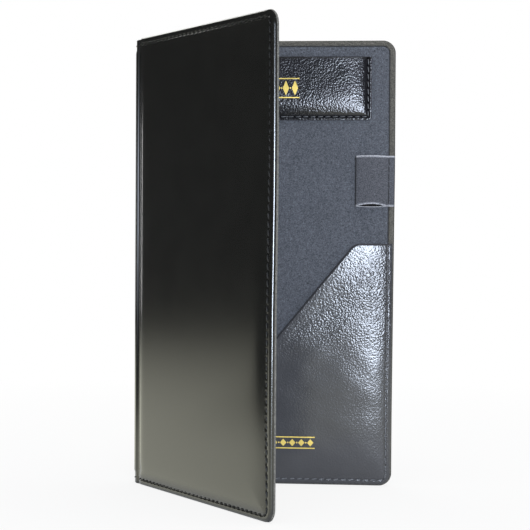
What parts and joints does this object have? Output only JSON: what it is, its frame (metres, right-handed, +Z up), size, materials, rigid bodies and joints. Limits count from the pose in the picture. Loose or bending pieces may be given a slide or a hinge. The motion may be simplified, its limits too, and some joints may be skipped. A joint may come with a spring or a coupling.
{
  "type": "guest check presenter",
  "caption": "Padded two-cover folder that stands part open, with a soft spine, a card pocket, a pen loop and a slant-mouthed bill pocket inside the back cover.",
  "frame": {"origin": "middle of the bottom of the bounding box, on the surface that the bottom edges stand on", "axes": "+Z up along the covers' height; +X along the back cover from the spine to its free edge; the back cover's lining faces -Y"},
  "size_m": [0.1476, 0.1288, 0.254],
  "materials": {
    "black_leatherette": "glossy fine-grained black leatherette",
    "grey_lining": "matt grey non-woven lining",
    "black_thread": "black twisted sewing thread",
    "gold_foil": "stamped gold foil",
    "greyboard": "plain greyboard",
    "padding_foam": "open-cell foam sheet"
  },
  "bodies": {
    "back_cover": {"back_cover_skin": "black_leatherette", "back_cover_foam": "padding_foam", "back_cover_board": "greyboard", "back_cover_lining": "grey_lining", "back_outer_thread": "black_thread", "back_lining_thread": "black_thread", "card_pocket_panel": "black_leatherette", "card_pocket_pad": "padding_foam", "card_pocket_thread": "black_thread", "card_pocket_foil": "gold_foil", "slanted_pocket_panel": "black_leatherette", "slanted_pocket_hem": "black_leatherette", "slanted_pocket_thread": "black_thread", "slanted_pocket_foil": "gold_foil", "pen_loop_ends": "grey_lining", "pen_loop_thread": "black_thread"},
    "spine": {"spine_skin": "black_leatherette", "spine_lining": "grey_lining", "spine_thread": "black_thread"},
    "front_cover": {"front_cover_skin": "black_leatherette", "front_cover_foam": "padding_foam", "front_cover_board": "greyboard", "front_cover_lining": "grey_lining", "front_outer_thread": "black_thread", "front_lining_thread": "black_thread"},
    "pen_loop": {"pen_loop": "grey_lining"}
  },
  "joints": [
    {"name": "back_crease", "type": "hinge", "parent": "back_cover", "child": "spine", "pos_m": [-0.07015, 0.06048, 0.127], "axis": [0, 0, -1], "range_deg": [0, 90]},
    {"name": "front_crease", "type": "hinge", "parent": "spine", "child": "front_cover", "pos_m": [-0.07015, 0.05198, 0.127], "axis": [0, 0, 1], "range_deg": [-37, 53]},
    {"name": "pen_loop_swing", "type": "hinge", "parent": "back_cover", "child": "pen_loop", "pos_m": [0.0691, 0.05691, 0.1737], "axis": [0, 0, 1], "range_deg": [0, 180]}
  ]
}
